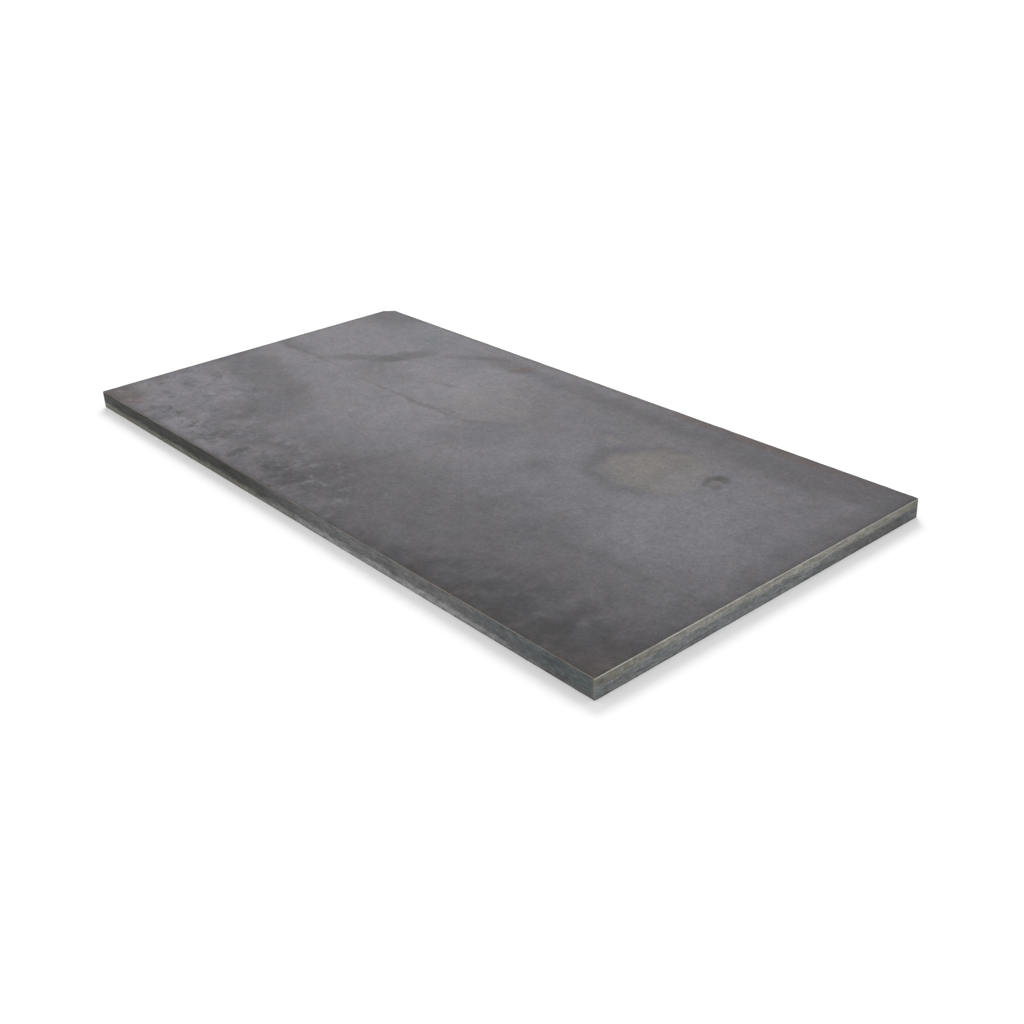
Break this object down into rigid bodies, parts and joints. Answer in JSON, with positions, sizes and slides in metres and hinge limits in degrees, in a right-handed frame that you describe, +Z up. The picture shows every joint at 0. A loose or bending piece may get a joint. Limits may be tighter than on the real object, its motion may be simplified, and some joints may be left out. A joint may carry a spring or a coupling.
{
  "type": "steel plate",
  "caption": "Flat rectangular hot-rolled steel plate, cut to size, with dark mill scale, squared cut edges and a small clipped corner.",
  "frame": {"origin": "centre of the bottom face, on the floor that the plate lies on", "axes": "+X along the plate's length, which is the rolling direction; +Y across its width; +Z up through its thickness"},
  "size_m": [0.5, 0.25, 0.012],
  "materials": {
    "steel_plate": "hot-rolled, with mill scale"
  },
  "bodies": {
    "root": {"steel_plate": "steel_plate"}
  },
  "joints": []
}
